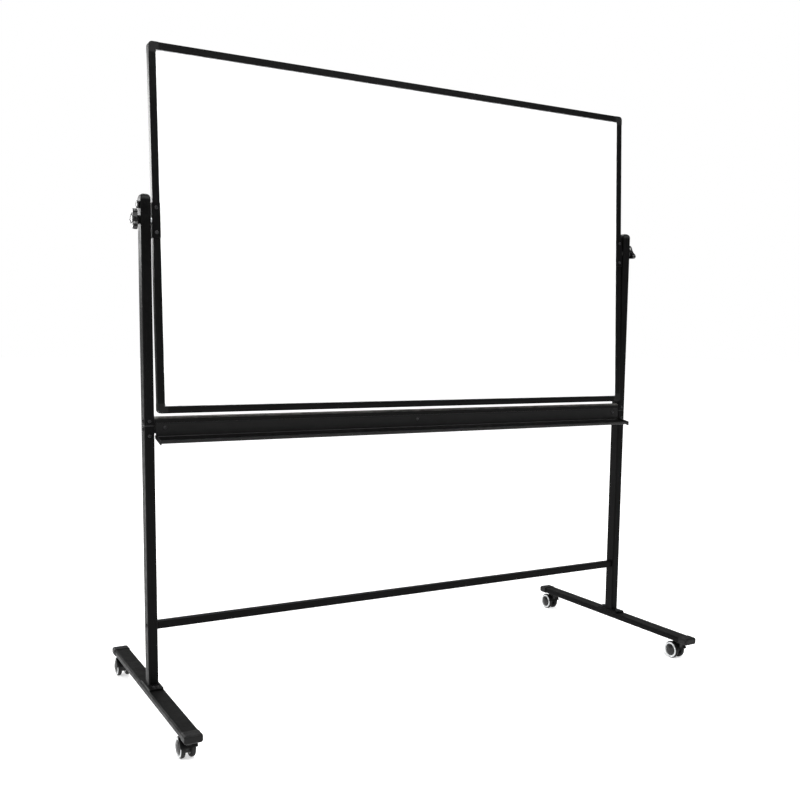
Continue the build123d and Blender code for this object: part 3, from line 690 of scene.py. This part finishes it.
bm = bmesh.new()
for i, (low, high) in enumerate(parts_of("pan_screws")):
    centre = (low + high) / 2
    tilt = 0.5 + 0.9 * i
    start = Vector((centre.x, low.y + PAN_HEAD, centre.z))
    pan_head(bm, start, Vector((0, -1, 0)), Vector((math.cos(tilt), 0, math.sin(tilt))),
             (high.x - low.x) / 2, height=PAN_HEAD, shank=THIN_SHANK, length=6 * MM)
piece("cross_head_screws", bm, black_oxide, BODY_OF["pan_screws"], ["pan_screws"])

bm = bmesh.new()
board_rise = middle("top_rail") - middle("bottom_rail")
board_tilt = math.atan2(board_rise.y, board_rise.z)
face_out = Vector((0, -math.cos(board_tilt), math.sin(board_tilt)))
for i, (low, high) in enumerate(parts_of("bracket_screws")):
    centre = (low + high) / 2
    radius = (high.x - low.x) / 2
    tilt = 0.3 + 1.1 * i
    aside = Vector((1, 0, 0)) * math.cos(tilt) + face_out.cross(Vector((1, 0, 0))) * math.sin(tilt)
    pan_head(bm, centre - face_out * 0.2 * MM, face_out, aside, radius,
             height=PAN_HEAD, shank=THIN_SHANK, length=1.9 * MM)
piece("bracket_cross_screws", bm, black_oxide, BODY_OF["bracket_screws"], ["bracket_screws"])

# ---------------------------------------------------------------- welds
WELD_LEG = 2.0 * MM
WELD_ROOT = 0.3 * MM
WELD_SPACING = 0.45 * MM
UPRIGHT_CORNER = 4.0 * MM


def rounded_rectangle(width, depth, radius):
    """Points and outward directions round a rounded rectangle about the origin."""
    steps = 9
    places = []
    for quarter, (sx, sy) in enumerate(((1, 1), (-1, 1), (-1, -1), (1, -1))):
        corner = Vector((sx * (width / 2 - radius), sy * (depth / 2 - radius), 0))
        for step in range(steps + 1):
            angle = (quarter + step / steps) * math.pi / 2
            outward = Vector((math.cos(angle), math.sin(angle), 0))
            places.append((corner + outward * radius, outward))
    return places


def resample(places, spacing):
    """The same outline with points at an even spacing, so that the ripples of a weld are even."""
    made = []
    for (here, out_here), (there, out_there) in zip(places, places[1:] + places[:1]):
        steps = max(1, round((there - here).length / spacing))
        for step in range(steps):
            share = step / steps
            made.append((here.lerp(there, share), out_here.lerp(out_there, share).normalized()))
    return made


def weld_bead(bm, centre, width, depth, radius):
    """A rippled fillet weld where a tube stands on a plate."""
    rows = []
    for i, (place, outward) in enumerate(resample(rounded_rectangle(width, depth, radius), WELD_SPACING)):
        ripple = 0.28 * MM * abs(math.sin(i * math.pi / 6)) + 0.12 * MM * math.sin(i * 0.37)
        leg = WELD_LEG + ripple
        row = [bm.verts.new(centre + place - outward * WELD_ROOT)]
        for step in range(6):
            angle = math.pi / 2 * step / 5
            reach = leg * (1 - 0.16 * math.sin(2 * angle))
            lift = Vector((0, 0, reach * math.sin(angle)))
            row.append(bm.verts.new(centre + place + outward * reach * math.cos(angle) + lift))
        row.append(bm.verts.new(centre + place - outward * WELD_ROOT + Vector((0, 0, leg))))
        rows.append(row)
    for row, following in zip(rows, rows[1:] + rows[:1]):
        for k in range(len(row)):
            after = (k + 1) % len(row)
            bm.faces.new((row[k], row[after], following[after], following[k]))


bm = bmesh.new()
for side_name in SIDES:
    low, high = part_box(f"{side_name}_lower_upright")
    weld_bead(bm, Vector(((low.x + high.x) / 2, (low.y + high.y) / 2, low.z)),
              high.x - low.x, high.y - low.y, UPRIGHT_CORNER)
piece("base_weld_beads", bm, foot_paint, BODY_OF["base_plates"], crease=60)

# ---------------------------------------------------------------- floor, light, camera
FLOOR_GAP = 0.2 * MM
FLOOR_HALF_SIZE = 45.0

floor_mesh = bpy.data.meshes.new("studio_floor")
bm = bmesh.new()
bmesh.ops.create_grid(bm, x_segments=24, y_segments=24, size=FLOOR_HALF_SIZE)
bm.to_mesh(floor_mesh)
bm.free()
floor = bpy.data.objects.new("studio_floor", floor_mesh)
floor.location.z = cad_box[0].z - FLOOR_GAP
scene.collection.objects.link(floor)
floor.data.materials.append(studio_floor("studio_floor"))


def studio_world():
    """A plain white surround to the camera; to everything else it is dim in front and brighter behind."""
    world = bpy.data.worlds.new("studio")
    world.use_nodes = True
    tree = world.node_tree
    tree.nodes.clear()

    def add(kind, **values):
        made = tree.nodes.new(kind)
        for key, value in values.items():
            made.inputs[key.replace("_", " ")].default_value = value
        return made

    place = add("ShaderNodeTexCoord")
    split = add("ShaderNodeSeparateXYZ")
    rise = add("ShaderNodeMapRange", From_Min=-0.35, From_Max=0.45, To_Min=0.03, To_Max=0.30)
    surround = add("ShaderNodeBackground", Color=(1.0, 1.0, 1.0, 1))
    plain = add("ShaderNodeBackground", Color=(1.0, 1.0, 1.0, 1), Strength=1.0)
    seen = add("ShaderNodeLightPath")
    choose = add("ShaderNodeMixShader")
    output = add("ShaderNodeOutputWorld")
    tree.links.new(place.outputs["Generated"], split.inputs[0])
    tree.links.new(split.outputs["Y"], rise.inputs["Value"])
    tree.links.new(rise.outputs["Result"], surround.inputs["Strength"])
    tree.links.new(seen.outputs["Is Camera Ray"], choose.inputs[0])
    tree.links.new(surround.outputs[0], choose.inputs[1])
    tree.links.new(plain.outputs[0], choose.inputs[2])
    tree.links.new(choose.outputs[0], output.inputs["Surface"])
    return world


scene.world = studio_world()


def softbox(name, place, target, size, power):
    data = bpy.data.lights.new(name, "AREA")
    data.shape = "RECTANGLE"
    data.size, data.size_y = size
    data.energy = power
    lamp = bpy.data.objects.new(name, data)
    lamp.location = place
    lamp.rotation_mode = "QUATERNION"
    lamp.rotation_quaternion = (Vector(target) - Vector(place)).to_track_quat("-Z", "Y")
    scene.collection.objects.link(lamp)


SOFTBOXES = {       # place, what it faces, size, power
    "key_over_front": ((-1.2, -3.6, 5.2), (0, 0, 1.0), (3.4, 2.6), 330),
    "fill_left": ((-5.2, -0.6, 2.0), (0, 0, 0.9), (2.6, 3.6), 90),
    "rim_behind_left": ((-2.3, 4.6, 2.2), (-0.78, 0, 1.2), (1.6, 1.3), 60),
    "edge_right": ((3.0, -3.4, 4.6), (0, 0, 0.8), (3.4, 1.2), 120),
    "top_behind": ((0.6, 2.6, 4.6), (0, 0, 0.8), (3.0, 2.4), 120),
}
for lamp_name, (place, target, size, power) in SOFTBOXES.items():
    softbox(lamp_name, place, target, size, power)

scene.view_settings.view_transform = "Standard"

CAMERA_PLACE = (-1.378, -2.379, 0.960)
CAMERA_YAW, CAMERA_PITCH, CAMERA_ROLL = 0.510, 0.106, 0.011

camera_data = bpy.data.cameras.new("camera")
camera_data.sensor_width = 36
camera_data.lens = 43.0
camera_data.shift_y = 0.054
camera_data.clip_end = 400
camera = bpy.data.objects.new("camera", camera_data)
level = math.cos(CAMERA_PITCH)
forward = Vector((math.sin(CAMERA_YAW) * level, math.cos(CAMERA_YAW) * level, -math.sin(CAMERA_PITCH)))
right = Vector((math.cos(CAMERA_YAW), -math.sin(CAMERA_YAW), 0))
upward = right.cross(forward)
rolled_right = math.cos(CAMERA_ROLL) * right + math.sin(CAMERA_ROLL) * upward
rolled_up = math.cos(CAMERA_ROLL) * upward - math.sin(CAMERA_ROLL) * right
turn = Matrix((rolled_right, rolled_up, -forward)).transposed().to_4x4()
camera.matrix_world = Matrix.Translation(CAMERA_PLACE) @ turn
scene.collection.objects.link(camera)
scene.camera = camera
